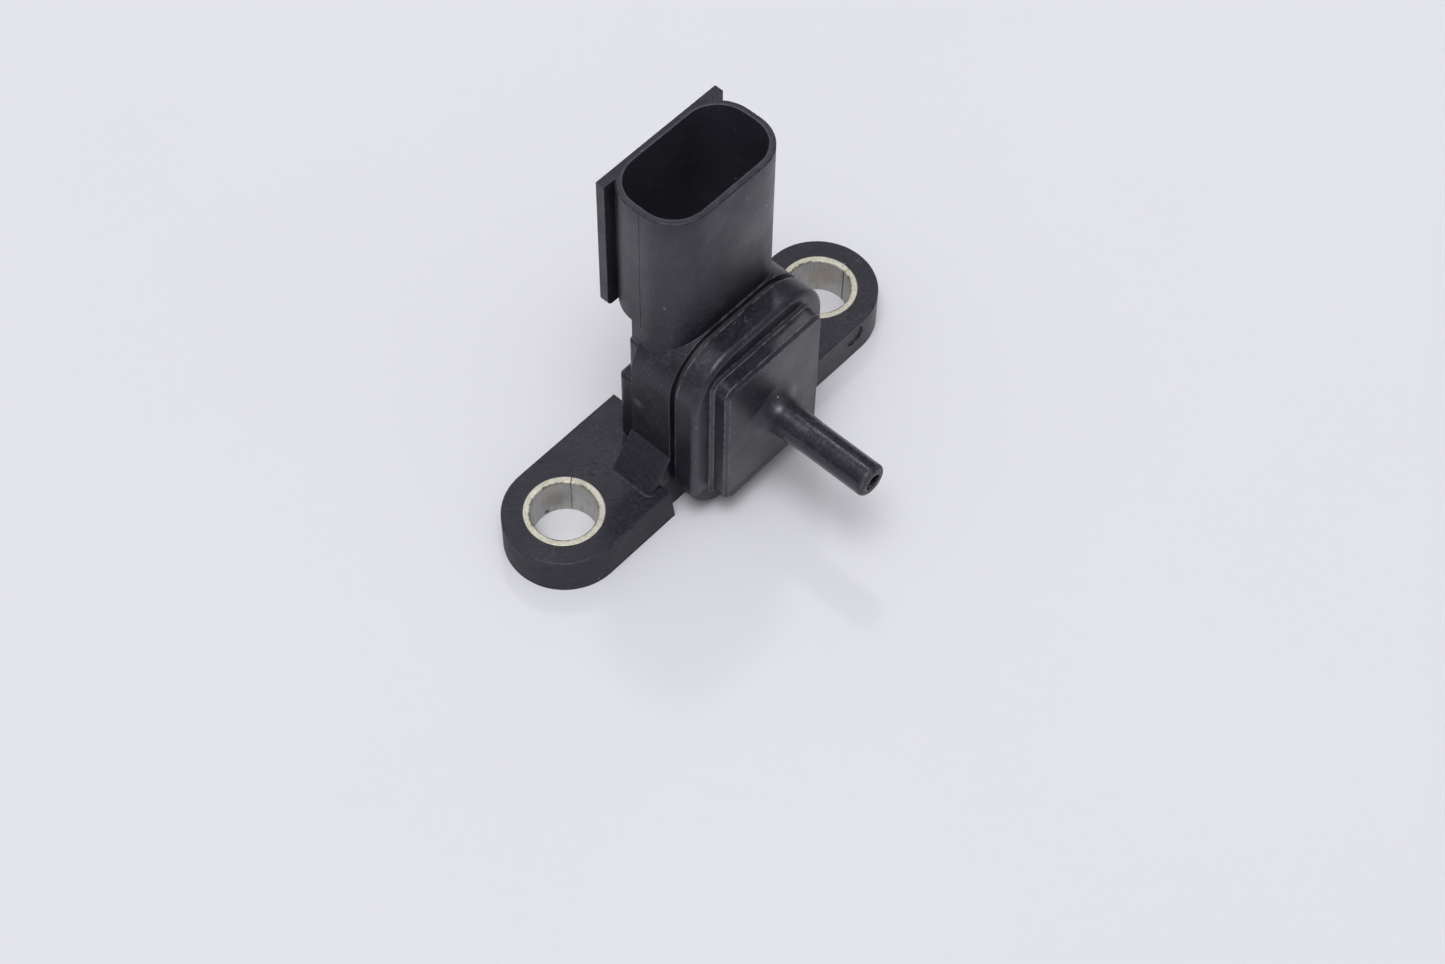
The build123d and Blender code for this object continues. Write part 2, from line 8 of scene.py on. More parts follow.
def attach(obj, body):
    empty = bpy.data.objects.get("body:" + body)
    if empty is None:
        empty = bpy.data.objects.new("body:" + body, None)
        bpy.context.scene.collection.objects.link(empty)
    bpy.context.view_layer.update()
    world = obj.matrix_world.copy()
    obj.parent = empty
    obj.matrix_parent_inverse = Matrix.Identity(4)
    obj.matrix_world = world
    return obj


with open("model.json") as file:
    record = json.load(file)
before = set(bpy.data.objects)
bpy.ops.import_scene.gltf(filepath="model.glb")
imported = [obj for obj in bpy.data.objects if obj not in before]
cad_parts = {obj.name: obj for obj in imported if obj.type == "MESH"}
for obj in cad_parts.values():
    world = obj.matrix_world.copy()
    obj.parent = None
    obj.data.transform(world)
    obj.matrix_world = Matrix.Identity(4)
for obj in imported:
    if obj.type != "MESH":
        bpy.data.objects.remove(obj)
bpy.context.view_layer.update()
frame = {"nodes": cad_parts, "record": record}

# Lengths are in metres
# A grain or clouds are features a metre, detail and, where it isn't 0.5, roughness, for noise()
# A span is a ramp's low and high value, and what they become where that isn't nought and one

# Camera: the photograph's place, angle and field of view
CAMERA_TARGET = Vector((-0.003909, -0.007794, 0.0))
CAMERA_BACK = Vector((-0.4209, -0.3697, 0.8284))
CAMERA_DISTANCE = 0.308325
CAMERA_ROLL = math.radians(1.143)
CAMERA_LENS = 68.77
CAMERA_SENSOR = 36.0
CAMERA_CLIP = (0.01, 10.0)

# Table: pale, matt and a little uneven in tone
TABLE_COLOUR = (0.785, 0.79, 0.81, 1.0)
TABLE_SHADE = 0.985
TABLE_GRAIN = (14.0, 2.0)
TABLE_ROUGHNESS = 0.55
TABLE_SPECULAR = 0.3
TABLE_RADIUS = 0.9
TABLE_SIDES = 96

# Room: a stop is the cosine of the angle from the room's centre, and how bright it is there
BACKDROP = (0.775, 0.78, 0.805, 1.0)
ROOM_CENTRE = (-0.22, -0.14, 0.965)
ROOM_STOPS = (
    (0.0, 0.18),
    (0.3, 0.26),
    (0.6, 0.44),
    (0.80, 0.48),
    (0.90, 0.56),
    (0.955, 1.5),
    (0.975, 7.0),
    (1.0, 8.0),
)
ROOM_TINT = (0.99, 0.99, 1.03)
NEW_STOP = 0.5

# Lamp: small, behind the part on its right
LAMP_PLACE = (0.367, 0.356, 0.86)
LAMP_AIM = (0.0, 0.0, 0.0)
LAMP_SIZE = 0.07
LAMP_POWER = 0.68

# The part's places that the materials go by
FLANGE_TOP = 0.0051
BUSHING_X = 0.021
BUSHING_BORE = 0.0037
BUSHING_TOP_SPAN = (0.00495, 0.00508)
SOCKET_STRAIGHTS = (0.0042, 0.00085, 1.0)
SOCKET_ROUND = 0.0041
SOCKET_FLOOR = 0.028

# Any noise: its middle, and the span that nearly all of it lies in
NOISE_MIDDLE = 0.5
NOISE_SPAN = (0.3, 0.7)

# For the Shader: samples that ease an edge, and what a point is multiplied by to lose its height
EASE_SAMPLES = 8
WITHOUT_HEIGHT = (1.0, 1.0, 0.0)

# A spot's ragged rim: features in an outer radius, their detail, and its reach in outer radii
SPOT_FEATURES = 0.72
SPOT_DETAIL = 4.0
SPOT_RAGGED = 0.25

# Black plastic: an almost black tone with a paler, eroded grain
PLASTIC_TONE = (0.0042, 0.0040, 0.0064, 1.0)
PALE_GRAIN = 4.0
FINE_GRAIN = (2200.0, 4.0, 0.65)
FINE_SPAN = (0.36, 0.64)
FINE_RELIEF = 0.8
COARSE_GRAIN = (1300.0, 4.0, 0.6)
COARSE_SPAN = (0.3, 0.7, 0.5, 1.0)
COARSE_RELIEF = 0.6
PLASTIC_EASE = 0.00014

# Its sheen: cloudy, with slightly violet reflections
SHEEN_GRAIN = (300.0, 4.0, 0.6)
SHEEN_FINE = 0.7
SHEEN_SPAN = (0.6, 1.1)
SHEEN_SPREAD = 0.09
SPECULAR_TINT = (0.90, 0.89, 1.0, 1.0)

# Its worn edges: pale lines that the coarse grain breaks up, part wear and part painted highlight
EDGE_REACH = 0.00022
EDGE_TURN = (0.006, 0.06)
EDGE_SPAN = (0.40, 0.56)
EDGE_WEAR_HIGHLIGHT_TONE = (0.24, 0.235, 0.25, 1.0)

# Its fine scratches, in patches: each run's turn, features a metre, and width in the noise's value
SCRATCH_RUNS = (
    ((0.1, -0.3, 0.2), 1300.0, 0.03),
    ((0.4, 0.9, 0.8), 900.0, 0.02),
)
SCRATCH_DETAIL = 1.0
SCRATCH_STRETCH = (9.0, 1.0, 1.0)
SCRATCH_CORE = 0.2
SCRATCH_PATCHES = (230.0, 3.0)
SCRATCH_SPAN = (0.50, 0.62)
SCRATCH_TONE = (0.10, 0.10, 0.11, 1.0)
SCRATCH_STRENGTH = 0.3
SCRATCH_DULLING = 0.12

# Its dust and lint: cells a metre, size in cells, share of the cells; and the socket's tone, a paler painted
# light that lifts its dark inside
DUST = (620.0, 0.10, 0.35)
LINT = (1500.0, 0.12, 0.08)
DUST_TONE = (0.36, 0.35, 0.34, 1.0)
DUST_STRENGTH = 0.55
SOCKET_PAINTED_LIGHT = (0.036, 0.034, 0.046, 1.0)

# The flange's upright walls left of the middle are duller than the rest
LOW_WALL_TOP = FLANGE_TOP - 0.00005
LOW_WALL_LEFT = (0.004, -0.004)
LOW_WALL_UPRIGHT = (0.5, 0.2)
LOW_WALL_DULLING = 0.22

# The nipple is polished by hoses, from outside its flare to its duller tip: spans along Y
NIPPLE_SPAN = (-0.0130, -0.0150)
NIPPLE_POLISH = 0.155
TIP_DULL_SPAN = (-0.0247, -0.0252)
TIP_DULLING = 0.30

# The tip's frayed end: a span along Y, broken up by a span of the fine grain
TIP_FRAY_SPAN = (-0.02505, -0.0254)
TIP_FINE_SPAN = (0.48, 0.58)
TIP_FRAY = 0.5
TIP_TONE = (0.13, 0.12, 0.095, 1.0)

# Patches broken up by the mottle: lighter ones on the shroud, painted sheen over wiped dust and painted
# light on its ends, and dulled ones on the cover; centre, inner and outer radius, tone
WIPED_DUST_AND_SHEEN = (0.120, 0.118, 0.128, 1.0)
PAINTED_LIGHT_HAZE = (0.050, 0.049, 0.056, 1.0)
DULLED = (0.042, 0.043, 0.044, 1.0)
PATCH_SPAN = (0.0, 1.0, 0.5, 1.0)
HOUSING_PATCHES = (
    ((0.0068, -0.00545, 0.0375), 0.003, 0.0085, WIPED_DUST_AND_SHEEN),
    ((-0.0088, 0.0, 0.038), 0.002, 0.0085, PAINTED_LIGHT_HAZE),
    ((0.0088, -0.002, 0.036), 0.002, 0.0070, PAINTED_LIGHT_HAZE),
)
COVER_PATCHES = (
    ((0.0045, -0.0115, 0.0185), 0.003, 0.0075, DULLED),
    ((-0.0045, -0.0115, 0.0085), 0.002, 0.0060, DULLED),
)

# Nicks, a scrape and a pit: centre, inner and outer radius, tone, depth in parts of the grain's
DARK = (0.008, 0.008, 0.010, 1.0)
SCUFF = (0.10, 0.10, 0.11, 1.0)
HOUSING_MARKS = (
    ((-0.01404, 0.00202, FLANGE_TOP), 0.00008, 0.00032, DARK, 0.5),
    ((-0.01534, 0.00108, FLANGE_TOP), 0.00008, 0.00032, DARK, 0.5),
    ((-0.01796, 0.00648, FLANGE_TOP), 0.00008, 0.00032, DARK, 0.5),
    ((-0.0102, -0.0012, 0.0152), 0.0001, 0.0008, SCUFF, 0.0),
)
COVER_MARKS = (((0.00966, -0.0089, 0.01874), 0.00012, 0.00034, DARK, 3.0),)
MARK_STRENGTH = 0.8

# Bushings: a grey bore with strokes along the roll, and painted shadow along the seam on the right
BORE_GRAIN = (5200.0, 3.0, 0.6)
BORE_STRETCH = (1.0, 1.0, 16.0)
BORE_SPAN = (0.34, 0.66)
BORE_DARK = (0.32, 0.315, 0.305, 1.0)
BORE_LIGHT = (0.47, 0.46, 0.44, 1.0)
BORE_CLOUD = (0.54, 0.525, 0.49, 1.0)
BORE_CLOUD_SPAN = (0.42, 0.66, 0.0, 0.7)
SEAM_PLACE = (0.02463, -0.0007, 0.0)
SEAM_REACH = (0.00005, 0.00014)
SEAM_SHADOW_TONE = (0.06, 0.06, 0.06, 1.0)

# Their ivory top, with dirt by the inner rim
RIM_GRAIN = (3000.0, 4.0, 0.7)
RIM_SPAN = (0.38, 0.62)
RIM_DARK = (0.53, 0.505, 0.41, 1.0)
RIM_LIGHT = (0.70, 0.675, 0.57, 1.0)
DIRT_REACH = (0.0001, 0.0003)
DIRT_GRAIN = (2600.0, 3.0)
DIRT_RAGGED = 0.00012
DIRT_SPAN = (0.46, 0.56)
DIRT_TONE = (0.16, 0.14, 0.11, 1.0)

# Their metal, and its stains: centre, radius, tone, strength
METAL_SHARE = 0.6
METAL_CLOUDS = (480.0, 4.0, 0.65)
METAL_SHEEN_SPAN = (0.3, 0.9, 0.3, 0.55)
METAL_TOP_DULLING = 0.2
METAL_RELIEF = 0.00002
METAL_EASE = 0.00012
STAIN_CORE = 0.3
STAINS = (
    ((-0.01934, 0.00331, 0.00211), 0.0021, (0.23, 0.21, 0.18, 1.0), 0.70),
    ((0.02403, 0.00212, 0.00272), 0.0022, (0.36, 0.30, 0.22, 1.0), 0.6),
    ((-0.02022, 0.00362, 0.00052), 0.00048, (0.02, 0.02, 0.02, 1.0), 1.0),
)

# Finishes of one tone: colour, roughness, and what else differs from plain()
PLAIN_FEATURES = 2500.0
PLAIN_DETAIL = 3.0
PLAIN_RELIEF = 0.000008
PLAIN_SPAN = (0.35, 0.65)
PLAIN_SHADE = 0.8
PLAIN_SPREAD = 0.06
PLAIN_FINISHES = {
    "bond_silicone": ((0.048, 0.048, 0.053, 1.0), 0.40, {}),
    "terminal_brass": ((0.62, 0.60, 0.55, 1.0), 0.3, {"metallic": 1.0}),
    "lead_metal": ((0.75, 0.75, 0.76, 1.0), 0.3, {"metallic": 1.0}),
    "board_ceramic": ((0.78, 0.78, 0.75, 1.0), 0.6, {}),
    "pad_adhesive": ((0.6, 0.6, 0.57, 1.0), 0.6, {}),
    "pedestal_glass": ((0.75, 0.82, 0.8, 1.0), 0.12, {}),
    "die_silicon": ((0.2, 0.21, 0.25, 1.0), 0.2, {}),
    "dam_plastic": ((0.07, 0.07, 0.07, 1.0), 0.5, {}),
    "gel_silicone": ((0.7, 0.72, 0.74, 1.0), 0.15, {}),
    "chip_plastic": ((0.02, 0.02, 0.02, 1.0), 0.5, {}),
    "capacitor_ceramic": ((0.42, 0.3, 0.18, 1.0), 0.4, {}),
    "resistor_ceramic": ((0.05, 0.05, 0.07, 1.0), 0.4, {}),
    "filter_sinter": ((0.7, 0.68, 0.6, 1.0), 0.7, {"features": 5000.0, "depth": 0.00003}),
}

# Parting lines that the mould left on the shroud's two ends
PARTING_Y = -0.0003
PARTING_WIDTH = 0.00011
PARTING_RISE = 0.00004
PARTING_LOW = 0.0265
PARTING_HIGH = 0.0448
PARTING_POINTS = 7


def shaded(colour, share):
    """The colour with each channel times share."""
    return tuple(share * value for value in colour[:3]) + (1.0,)


class Shader:
    """A material's node tree, built node by node."""

    def __init__(self, name):
        self.material = bpy.data.materials.new(name)
        self.material.use_nodes = True
        self.tree = self.material.node_tree
        self.surface = self.tree.nodes["Principled BSDF"]

    def node(self, kind, **settings):
        """A new node; a setting is one of its properties or else one of its inputs."""
        made = self.tree.nodes.new(kind)
        for key, value in settings.items():
            if hasattr(made, key):
                setattr(made, key, value)
            else:
                made.inputs[key].default_value = value
        return made

    def feed(self, socket, value):
        """Gives a socket a number, colour or vector, or the output that makes it."""
        if isinstance(value, (int, float, tuple)):
            socket.default_value = value
        else:
            self.tree.links.new(value, socket)

    def set_surface(self, **values):
        """Feeds the surface's inputs, with _ for each space in a name."""
        for key, value in values.items():
            self.feed(self.surface.inputs[key.replace("_", " ")], value)

    def place(self):
        """The point in the part's own frame, in metres."""
        return self.node("ShaderNodeTexCoord").outputs["Object"]

    def axes(self, vector):
        """The outputs X, Y and Z of a vector."""
        made = self.node("ShaderNodeSeparateXYZ")
        self.feed(made.inputs["Vector"], vector)
        return made.outputs

    def stretched(self, stretch, turn=(0.0, 0.0, 0.0)):
        """The point with each axis stretched, the axes turned first."""
        mapping = self.node("ShaderNodeMapping", vector_type="TEXTURE", Scale=stretch, Rotation=turn)
        self.feed(mapping.inputs["Vector"], self.place())
        return mapping.outputs["Vector"]

    def noise(self, scale, detail, roughness=0.5, where=None):
        """A noise of that many features a metre."""
        made = self.node("ShaderNodeTexNoise", Scale=scale, Detail=detail, Roughness=roughness)
        self.feed(made.inputs["Vector"], where or self.place())
        return made.outputs["Fac"]

    def ramp(self, value, low, high, start=0.0, end=1.0):
        """Maps value from the range low to high onto start to end, held at both ends."""
        made = self.node("ShaderNodeMapRange")
        made.clamp = True
        names = ("Value", "From Min", "From Max", "To Min", "To Max")
        for name, fed in zip(names, (value, low, high, start, end)):
            self.feed(made.inputs[name], fed)
        return made.outputs["Result"]

    def math(self, operation, first, second=0.0):
        """The output of an operation on numbers."""
        made = self.node("ShaderNodeMath", operation=operation)
        self.feed(made.inputs[0], first)
        self.feed(made.inputs[1], second)
        return made.outputs["Value"]

    def vector(self, operation, first, second=(0.0, 0.0, 0.0)):
        """The outputs Vector and Value of an operation on vectors."""
        made = self.node("ShaderNodeVectorMath", operation=operation)
        self.feed(made.inputs[0], first)
        self.feed(made.inputs[1], second)
        return made.outputs

    def mix(self, factor, first, second):
        """Mixes two colours, each a tuple or a socket."""
        made = self.node("ShaderNodeMix", data_type="RGBA")
        self.feed(made.inputs["Factor"], factor)
        self.feed(made.inputs[6], first)
        self.feed(made.inputs[7], second)
        return made.outputs[2]

    def bump(self, height, distance, normal=None):
        """The normal tilted by a relief of that height, which is distance deep where height is one."""
        made = self.node("ShaderNodeBump", Strength=1.0, Distance=distance)
        self.feed(made.inputs["Height"], height)
        if normal is not None:
            self.feed(made.inputs["Normal"], normal)
        return made.outputs["Normal"]

    def soft_edges(self, radius):
        """The normal with the sharp edges eased over that radius."""
        return self.node("ShaderNodeBevel", Radius=radius, samples=EASE_SAMPLES).outputs["Normal"]

    def edge_mask(self, radius, low, high):
        """One along the edges, nought on open faces; low and high are one minus the cosine of the turn."""
        flat = self.node("ShaderNodeNewGeometry").outputs["Normal"]
        turned = self.vector("DOT_PRODUCT", self.soft_edges(radius), flat)["Value"]
        return self.ramp(turned, 1.0 - low, 1.0 - high)

    def within(self, away, inner, outer, grain, reach):
        """One where away is under inner, nought past outer, along a line that the grain makes ragged."""
        ragged = self.ramp(self.noise(*grain), *NOISE_SPAN, -reach, reach)
        return self.ramp(self.math("ADD", away, ragged), outer, inner)

    def spot(self, centre, inner, outer):
        """One within inner of the centre, falling to nought at outer, with a ragged rim."""
        away = self.vector("DISTANCE", self.place(), centre)["Value"]
        return self.within(away, inner, outer, (SPOT_FEATURES / outer, SPOT_DETAIL), SPOT_RAGGED * outer)

    def specks(self, cells, size, share):
        """Small round specks: one in some of the cells, of that share of them and that size in cells."""
        made = self.node("ShaderNodeTexVoronoi", Scale=cells)
        self.feed(made.inputs["Vector"], self.place())
        chance = self.node("ShaderNodeSeparateColor")
        self.feed(chance.inputs["Color"], made.outputs["Color"])
        chosen = self.ramp(chance.outputs["Red"], 1.0 - share, 1.0, 0.0, size)
        return self.math("LESS_THAN", made.outputs["Distance"], chosen)

    def scratches(self, turn, count, thin):
        """Thin broken lines that run one way, within patches."""
        lines = self.noise(count, SCRATCH_DETAIL, where=self.stretched(SCRATCH_STRETCH, turn))
        off_middle = self.math("ABSOLUTE", self.math("SUBTRACT", lines, NOISE_MIDDLE))
        line = self.ramp(off_middle, thin, SCRATCH_CORE * thin)
        patch = self.ramp(self.noise(*SCRATCH_PATCHES), *SCRATCH_SPAN)
        return self.math("MULTIPLY", line, patch)

    def from_upright(self, point, foot):
        """How far the point is from the upright line whose foot is given, at height nought."""
        level = self.vector("MULTIPLY", point, WITHOUT_HEIGHT)["Vector"]
        return self.vector("DISTANCE", level, foot)["Value"]

    def near_upright(self, foot, inner, outer):
        """One within inner of the upright line, falling to nought at outer."""
        return self.ramp(self.from_upright(self.place(), foot), outer, inner)

    def near_bore(self):
        """One by the inner rim of either bushing's top, falling to nought along a ragged line."""
        either_side = self.vector("ABSOLUTE", self.place())["Vector"]
        away = self.from_upright(either_side, (BUSHING_X, 0.0, 0.0))
        inner, outer = (BUSHING_BORE + reach for reach in DIRT_REACH)
        return self.within(away, inner, outer, DIRT_GRAIN, DIRT_RAGGED)

    def in_socket(self):
        """One on the socket's inner walls and floor, nought elsewhere."""
        either_side = self.vector("ABSOLUTE", self.place())["Vector"]
        past = self.vector("SUBTRACT", either_side, SOCKET_STRAIGHTS)["Vector"]
        away = self.vector("LENGTH", self.vector("MAXIMUM", past)["Vector"])["Value"]
        inside = self.math("LESS_THAN", away, SOCKET_ROUND)
        above_floor = self.math("GREATER_THAN", self.axes(self.place())["Z"], SOCKET_FLOOR)
        return self.math("MULTIPLY", inside, above_floor)


class MouldedPlastic(Shader):
    """Black moulded plastic: eroded grain, cloudy sheen, patches (some of them painted sheen and light),
    worn edges with painted highlights, painted light in the socket, scratches and dust.
    """

    def __init__(self, name, rough, ior, grain_depth, edge_wear_and_highlight, patches, marks):
        super().__init__(name)
        self.fine = self.noise(*FINE_GRAIN)
        self.coarse = self.noise(*COARSE_GRAIN)
        self.along = self.axes(self.place())
        self.lines = self.math("MAXIMUM", *(self.scratches(*run) for run in SCRATCH_RUNS))
        self.spots = [
            (self.spot(centre, inner, outer), shade, depth) for centre, inner, outer, shade, depth in marks
        ]
        self.set_surface(
            Base_Color=self.with_wear(self.clean_colour(patches), edge_wear_and_highlight),
            Roughness=self.sheen(rough),
            IOR=ior,
            Specular_Tint=SPECULAR_TINT,
            Normal=self.bump(self.relief(), grain_depth, normal=self.soft_edges(PLASTIC_EASE)),
        )

    def clean_colour(self, patches):
        """The mottled tone, the frayed tip, and the patches: dulled ones, and lighter ones of painted sheen
        and light, partly over wiped dust.
        """
        coarse = self.ramp(self.coarse, *COARSE_SPAN)
        mottle = self.math("MULTIPLY", self.ramp(self.fine, *FINE_SPAN), coarse)
        colour = self.mix(mottle, PLASTIC_TONE, shaded(PLASTIC_TONE, PALE_GRAIN))
        tip = self.ramp(self.along["Y"], *TIP_FRAY_SPAN)
        frayed = self.math("MULTIPLY", tip, self.ramp(self.fine, *TIP_FINE_SPAN))
        colour = self.mix(self.math("MULTIPLY", frayed, TIP_FRAY), colour, TIP_TONE)
        # the shroud's lighter patches are painted sheen and painted light; the cover's are dulled plastic
        for centre, inner, outer, shade in patches:
            patch = self.math("MULTIPLY", self.spot(centre, inner, outer), self.ramp(mottle, *PATCH_SPAN))
            colour = self.mix(patch, colour, shade)
        return colour

    def with_wear(self, colour, edge_wear_and_highlight):
        """The colour with the socket's painted light, worn edges with painted highlights, scratches, dust
        and marks laid over it.
        """
        # painted light: a paler tone that lifts the socket's dark inside
        colour = self.mix(self.in_socket(), colour, SOCKET_PAINTED_LIGHT)
        edges = self.edge_mask(EDGE_REACH, *EDGE_TURN)
        # painted highlight along the edges, partly wear, broken up by the coarse grain
        worn_highlit_edges = self.math("MULTIPLY", edges, self.ramp(self.coarse, *EDGE_SPAN))
        layers = [
            (worn_highlit_edges, edge_wear_and_highlight, EDGE_WEAR_HIGHLIGHT_TONE),
            (self.lines, SCRATCH_STRENGTH, SCRATCH_TONE),
            (self.math("MAXIMUM", self.specks(*DUST), self.specks(*LINT)), DUST_STRENGTH, DUST_TONE),
        ]
        layers += [(spot, MARK_STRENGTH, shade) for spot, shade, _ in self.spots]
        for mask, strength, shade in layers:
            colour = self.mix(self.math("MULTIPLY", mask, strength), colour, shade)
        return colour

    def relief(self):
        """The grain's height, sunk where the marks are."""
        fine = self.math("MULTIPLY", self.fine, FINE_RELIEF)
        height = self.math("ADD", fine, self.math("MULTIPLY", self.coarse, COARSE_RELIEF))
        for spot, _, depth in self.spots:
            height = self.math("SUBTRACT", height, self.math("MULTIPLY", spot, depth))
        return height

    def low_left_wall(self):
        """One on the flange's upright walls left of the middle."""
        upward = self.axes(self.node("ShaderNodeNewGeometry").outputs["Normal"])["Z"]
        low = self.math("LESS_THAN", self.along["Z"], LOW_WALL_TOP)
        low_left = self.math("MULTIPLY", low, self.ramp(self.along["X"], *LOW_WALL_LEFT))
        return self.math("MULTIPLY", low_left, self.ramp(upward, *LOW_WALL_UPRIGHT))

    def sheen(self, rough):
        """The cloudy roughness: less where hoses polish, more on the tip, low walls and scratches."""
        fine = self.math("MULTIPLY", self.fine, SHEEN_FINE)
        clouds = self.math("ADD", self.noise(*SHEEN_GRAIN), fine)
        roughness = self.ramp(clouds, *SHEEN_SPAN, rough - SHEEN_SPREAD, rough + SHEEN_SPREAD)
        rubbed = self.ramp(self.along["Y"], *NIPPLE_SPAN)
        roughness = self.math("SUBTRACT", roughness, self.math("MULTIPLY", rubbed, NIPPLE_POLISH))
        for duller in (
            self.ramp(self.along["Y"], *TIP_DULL_SPAN, 0.0, TIP_DULLING),
            self.math("MULTIPLY", self.low_left_wall(), LOW_WALL_DULLING),
            self.math("MULTIPLY", self.lines, SCRATCH_DULLING),
        ):
            roughness = self.math("ADD", roughness, duller)
        return roughness


class RolledMetal(Shader):
    """Plated sheet steel: an ivory top, a greyer bore with marks along the roll, stains and a dark speck."""

    def __init__(self, name):
        super().__init__(name)
        self.top = self.ramp(self.axes(self.place())["Z"], *BUSHING_TOP_SPAN)
        self.strokes = self.noise(*BORE_GRAIN, where=self.stretched(BORE_STRETCH))
        self.rim_grain = self.noise(*RIM_GRAIN)
        self.cloud = self.noise(*METAL_CLOUDS)
        duller = self.math("ADD", self.cloud, self.math("MULTIPLY", self.top, METAL_TOP_DULLING))
        relief = self.mix(self.top, self.strokes, self.rim_grain)
        self.set_surface(
            Base_Color=self.with_stains(self.mix(self.top, self.bore(), self.rim())),
            Metallic=METAL_SHARE,
            Roughness=self.ramp(duller, *METAL_SHEEN_SPAN),
            Normal=self.bump(relief, METAL_RELIEF, normal=self.soft_edges(METAL_EASE)),
        )

    def bore(self):
        """The bore's strokes and clouds, with painted shadow along the right one's seam."""
        colour = self.mix(self.ramp(self.strokes, *BORE_SPAN), BORE_DARK, BORE_LIGHT)
        colour = self.mix(self.ramp(self.cloud, *BORE_CLOUD_SPAN), colour, BORE_CLOUD)
        # painted shadow in the right bushing's seam
        return self.mix(self.near_upright(SEAM_PLACE, *SEAM_REACH), colour, SEAM_SHADOW_TONE)

    def rim(self):
        """The top's mottled ivory, with dirt by the inner rim."""
        colour = self.mix(self.ramp(self.rim_grain, *RIM_SPAN), RIM_DARK, RIM_LIGHT)
        dirt = self.math("MULTIPLY", self.near_bore(), self.ramp(self.cloud, *DIRT_SPAN))
        return self.mix(dirt, colour, DIRT_TONE)

    def with_stains(self, colour):
        """The colour with the stains laid over it."""
        for centre, outer, shade, strength in STAINS:
            stain = self.spot(centre, STAIN_CORE * outer, outer)
            colour = self.mix(self.math("MULTIPLY", stain, strength), colour, shade)
        return colour


def plain(name, colour, rough, metallic=0.0, features=PLAIN_FEATURES, depth=PLAIN_RELIEF):
    """One tone with a fine grain, for the bond and the small inner pieces."""
    s = Shader(name)
    fine = s.noise(features, PLAIN_DETAIL)
    s.set_surface(
        Base_Color=s.mix(s.ramp(fine, *PLAIN_SPAN), shaded(colour, PLAIN_SHADE), colour),
        Roughness=s.ramp(fine, *NOISE_SPAN, rough - PLAIN_SPREAD, rough + PLAIN_SPREAD),
        Metallic=metallic,
        Normal=s.bump(fine, depth),
    )
    return s.material


def make_finishes():
    """Every material by its slot's name."""
    housing = MouldedPlastic(
        "housing_plastic",
        rough=0.43,
        ior=1.55,
        grain_depth=0.00008,
        edge_wear_and_highlight=0.2,
        patches=HOUSING_PATCHES,
        marks=HOUSING_MARKS,
    )
    cover = MouldedPlastic(
        "cover_plastic",
        rough=0.39,
        ior=1.62,
        grain_depth=0.00003,
        edge_wear_and_highlight=0.9,
        patches=COVER_PATCHES,
        marks=COVER_MARKS,
    )
    made = {
        "housing_plastic": housing.material,
        "cover_plastic": cover.material,
        "bushing_metal": RolledMetal("bushing_metal").material,
    }
    for name, (colour, rough, others) in PLAIN_FINISHES.items():
        made[name] = plain(name, colour, rough, **others)
    return made


def dress(nodes, subparts, finishes):
    """Gives each piece of the frame the material of its slot."""
    slot_of = {row["node"]: row["material_slot"] for row in subparts}
    for node, piece in nodes.items():
        finish = finishes[slot_of[node]]
        for material_slot in piece.material_slots:
            material_slot.material = finish
        if not piece.material_slots:
            piece.data.materials.append(finish)


def shroud_half_width(housing):
    """Half the shroud's width, from the housing's highest points."""
    return max(point.co.x for point in housing.data.vertices if point.co.z > PARTING_HIGH)


def parting_line(name, face_x, side, finish):
    """A thin half-round ridge up the shroud's end at face_x, side -1 on the left and 1 on the right."""
    section = []
    for index in range(PARTING_POINTS):
        angle = math.pi * index / (PARTING_POINTS - 1)
        out = PARTING_RISE * math.sin(angle)
        section.append((face_x + side * out, PARTING_Y + PARTING_WIDTH / 2 * math.cos(angle)))
    shape = bmesh.new()
    low, high = ([shape.verts.new((x, y, z)) for x, y in section] for z in (PARTING_LOW, PARTING_HIGH))
    for index in range(PARTING_POINTS - 1):
        shape.faces.new((low[index], low[index + 1], high[index + 1], high[index]))
    shape.faces.new(low)
    shape.faces.new(high)
    shape.faces.new((low[0], low[-1], high[-1], high[0]))
    bmesh.ops.recalc_face_normals(shape, faces=shape.faces)
    mesh = bpy.data.meshes.new(name)
    shape.to_mesh(mesh)
    shape.free()
    mesh.materials.append(finish)
    ridge = bpy.data.objects.new(name, mesh)
    bpy.context.scene.collection.objects.link(ridge)
    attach(ridge, "root")


def table():
    """The pale round table that the part stands on."""
    bpy.ops.mesh.primitive_circle_add(vertices=TABLE_SIDES, radius=TABLE_RADIUS, fill_type="NGON")
    top = bpy.context.object
    top.name = "table"
    s = Shader("table_paint")
    uneven = s.ramp(s.noise(*TABLE_GRAIN), *NOISE_SPAN)
    s.set_surface(
        Base_Color=s.mix(uneven, shaded(TABLE_COLOUR, TABLE_SHADE), TABLE_COLOUR),
        Roughness=TABLE_ROUGHNESS,
        Specular_IOR_Level=TABLE_SPECULAR,
    )
    top.data.materials.append(s.material)


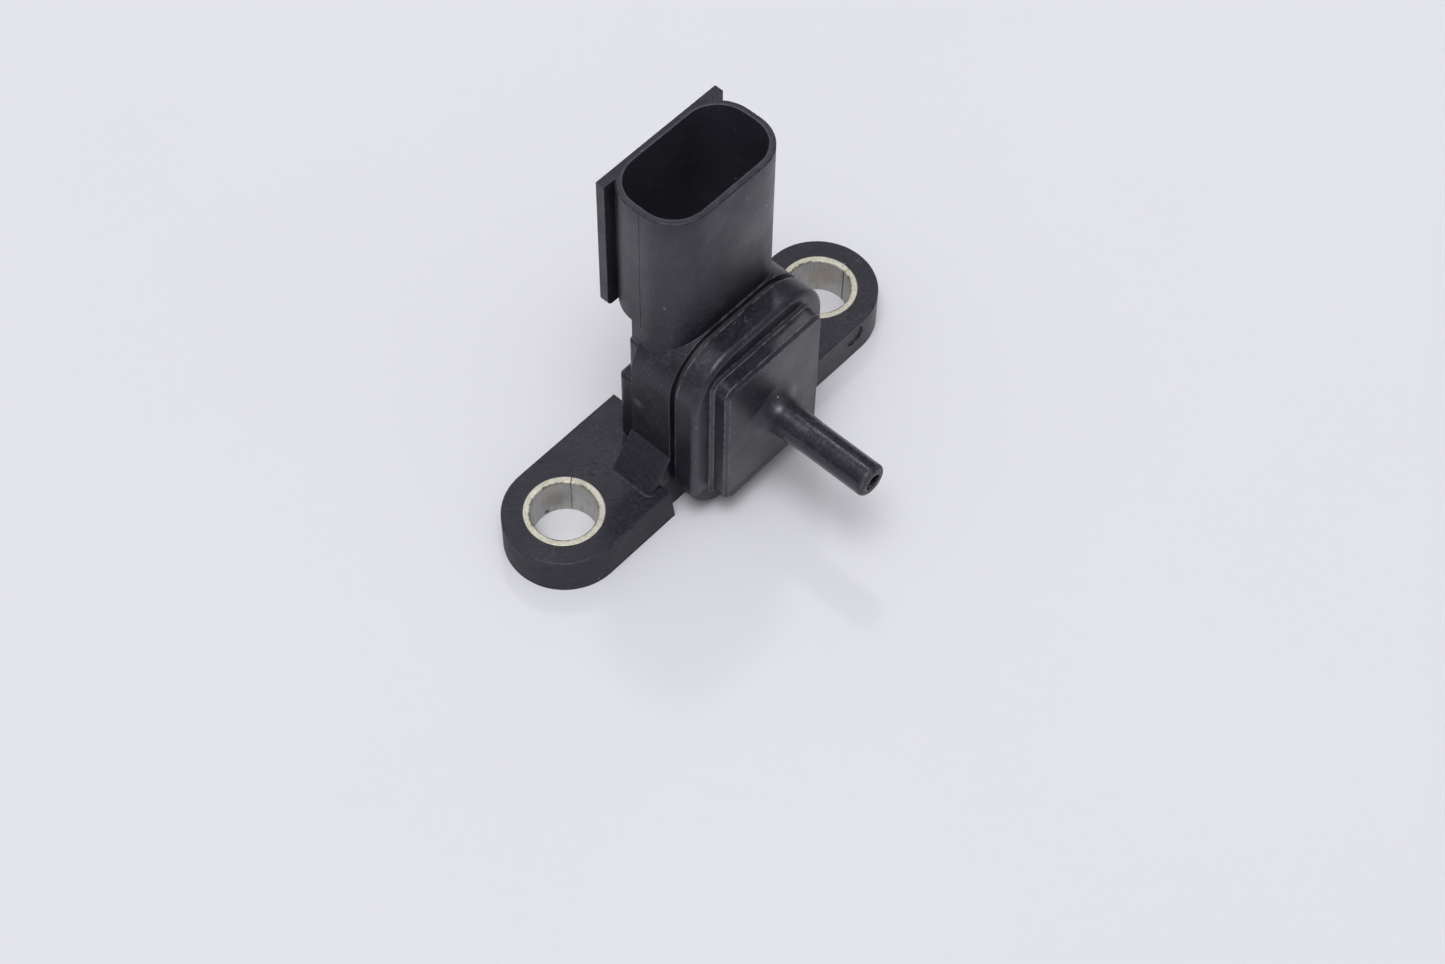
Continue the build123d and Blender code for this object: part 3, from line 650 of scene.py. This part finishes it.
def room():
    """The room's light, dim low down and bright overhead, and the plain backdrop that the camera sees."""
    world = bpy.data.worlds.new("room")
    bpy.context.scene.world = world
    world.use_nodes = True
    nodes = world.node_tree.nodes
    link = world.node_tree.links.new
    nodes.clear()
    toward = nodes.new("ShaderNodeVectorMath")
    toward.operation = "DOT_PRODUCT"
    toward.inputs[1].default_value = ROOM_CENTRE
    link(nodes.new("ShaderNodeTexCoord").outputs["Generated"], toward.inputs[0])
    by_angle = nodes.new("ShaderNodeValToRGB")
    link(toward.outputs["Value"], by_angle.inputs["Fac"])
    stops = by_angle.color_ramp.elements
    while len(stops) < len(ROOM_STOPS):
        stops.new(NEW_STOP)
    for stop, (position, level) in zip(stops, ROOM_STOPS):
        stop.position = position
        stop.color = shaded(ROOM_TINT, level)
    light = nodes.new("ShaderNodeBackground")
    link(by_angle.outputs["Color"], light.inputs["Color"])
    backdrop = nodes.new("ShaderNodeBackground")
    backdrop.inputs["Color"].default_value = BACKDROP
    choose = nodes.new("ShaderNodeMixShader")
    link(nodes.new("ShaderNodeLightPath").outputs["Is Camera Ray"], choose.inputs["Fac"])
    link(light.outputs["Background"], choose.inputs[1])
    link(backdrop.outputs["Background"], choose.inputs[2])
    link(choose.outputs["Shader"], nodes.new("ShaderNodeOutputWorld").inputs["Surface"])


def lamp():
    """The small square lamp."""
    data = bpy.data.lights.new("lamp", "AREA")
    data.shape = "SQUARE"
    data.size = LAMP_SIZE
    data.energy = LAMP_POWER
    light = bpy.data.objects.new("lamp", data)
    light.location = LAMP_PLACE
    light.rotation_mode = "QUATERNION"
    light.rotation_quaternion = (Vector(LAMP_PLACE) - Vector(LAMP_AIM)).to_track_quat("Z", "Y")
    bpy.context.scene.collection.objects.link(light)


def camera():
    """The camera at the photograph's place."""
    back = CAMERA_BACK.normalized()
    level_right = Vector((0.0, 0.0, 1.0)).cross(back).normalized()
    level_up = back.cross(level_right)
    right = math.cos(CAMERA_ROLL) * level_right + math.sin(CAMERA_ROLL) * level_up
    up = -math.sin(CAMERA_ROLL) * level_right + math.cos(CAMERA_ROLL) * level_up
    data = bpy.data.cameras.new("camera")
    data.lens = CAMERA_LENS
    data.sensor_width = CAMERA_SENSOR
    data.clip_start, data.clip_end = CAMERA_CLIP
    eye = bpy.data.objects.new("camera", data)
    turn = Matrix((right, up, back)).transposed()
    eye.matrix_world = Matrix.Translation(CAMERA_TARGET + back * CAMERA_DISTANCE) @ turn.to_4x4()
    bpy.context.scene.collection.objects.link(eye)
    bpy.context.scene.camera = eye


finishes = make_finishes()
dress(frame["nodes"], frame["record"]["subparts"], finishes)
half_width = shroud_half_width(frame["nodes"]["housing"])
parting_line("parting_line_left", -half_width, -1, finishes["housing_plastic"])
parting_line("parting_line_right", half_width, 1, finishes["housing_plastic"])
table()
room()
lamp()
camera()
bpy.context.scene.view_settings.view_transform = "Standard"
